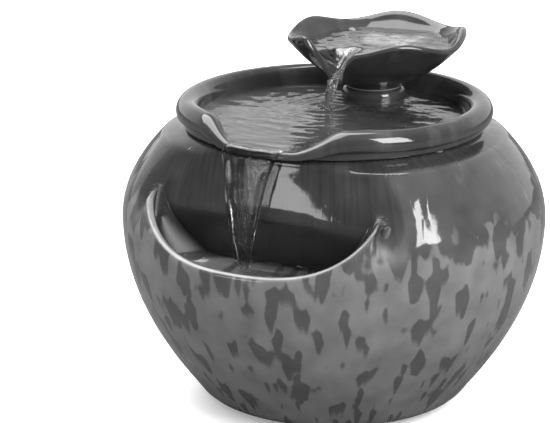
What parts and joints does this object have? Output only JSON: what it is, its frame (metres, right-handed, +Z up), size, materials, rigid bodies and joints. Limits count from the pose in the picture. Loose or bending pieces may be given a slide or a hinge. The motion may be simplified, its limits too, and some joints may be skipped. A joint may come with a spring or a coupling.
{
  "type": "tabletop water fountain",
  "caption": "Glazed ceramic tabletop fountain: round pot with a crescent front pocket, spouted tray on its neck, leaf-shaped bowl on a pedestal, and a submersible pump inside.",
  "frame": {"origin": "on the pot's axis, on the surface that the four foot pads stand on", "axes": "+Z up, -Y towards the pocket and the spout (the front), +X to the right seen from the front"},
  "size_m": [0.2192, 0.219, 0.1868],
  "materials": {
    "pot_glaze": "glossy mottled drip glaze, grey",
    "tray_glaze": "glossy dark grey glaze",
    "leaf_glaze": "glossy dark grey glaze",
    "pump_plastic": "satin black moulded plastic",
    "impeller_plastic": "natural moulded plastic",
    "bobbin_nylon": "natural nylon",
    "rubber": "matte black rubber",
    "silicone": "translucent silicone",
    "clear_tube": "clear flexible tube",
    "core_steel": "stamped steel sheets",
    "coil_copper": "enamelled copper wire",
    "epoxy": "poured black epoxy",
    "shaft_ceramic": "polished white ceramic",
    "ferrite": "matte sintered ferrite",
    "foam": "open-cell black foam"
  },
  "bodies": {
    "pot": {"pot_body": "pot_glaze", "foot_pad_1": "rubber", "foot_pad_2": "rubber", "foot_pad_3": "rubber", "foot_pad_4": "rubber", "cord_grommet": "rubber", "pump_housing": "pump_plastic", "stator_core": "core_steel", "coil_bobbin": "bobbin_nylon", "coil_winding": "coil_copper", "motor_potting_plate": "epoxy", "pump_cord_gland": "rubber", "pump_volute": "pump_plastic", "volute_gasket": "rubber", "impeller_shaft": "shaft_ceramic", "shaft_bush_front": "rubber", "shaft_bush_rear": "rubber", "riser_tube": "clear_tube", "suction_cup_1": "rubber", "suction_cup_2": "rubber", "suction_cup_3": "rubber", "suction_cup_4": "rubber"},
    "tray": {"tray": "tray_glaze", "tray_bumper_1": "silicone", "tray_bumper_2": "silicone", "tray_bumper_3": "silicone", "nozzle": "pump_plastic", "nozzle_sleeve": "silicone"},
    "leaf_swivel": {"leaf_seal_ring": "silicone"},
    "leaf": {"leaf_bowl": "leaf_glaze"},
    "rotor": {"impeller": "impeller_plastic", "rotor_magnet": "ferrite"},
    "intake_cover": {"pump_cover": "pump_plastic", "filter_sponge": "foam"},
    "flow_control": {"flow_slider": "pump_plastic"}
  },
  "joints": [
    {"name": "tray_lift", "type": "slide", "parent": "pot", "child": "tray", "axis": [0, 0, 1], "range_m": [0, 0.08]},
    {"name": "leaf_turn", "type": "hinge", "parent": "tray", "child": "leaf_swivel", "pos_m": [0, 0.0465, 0.1556], "axis": [0, 0, 1], "continuous": true},
    {"name": "leaf_lift", "type": "slide", "parent": "leaf_swivel", "child": "leaf", "axis": [0, 0, 1], "range_m": [0, 0.05]},
    {"name": "impeller_spin", "type": "hinge", "parent": "pot", "child": "rotor", "pos_m": [0, 0, 0.029], "axis": [0, 1, 0], "continuous": true},
    {"name": "cover_pull", "type": "slide", "parent": "pot", "child": "intake_cover", "axis": [0, -1, 0], "range_m": [0, 0.03]},
    {"name": "flow_adjust", "type": "slide", "parent": "intake_cover", "child": "flow_control", "axis": [1, 0, 0], "range_m": [0, 0.012]}
  ]
}
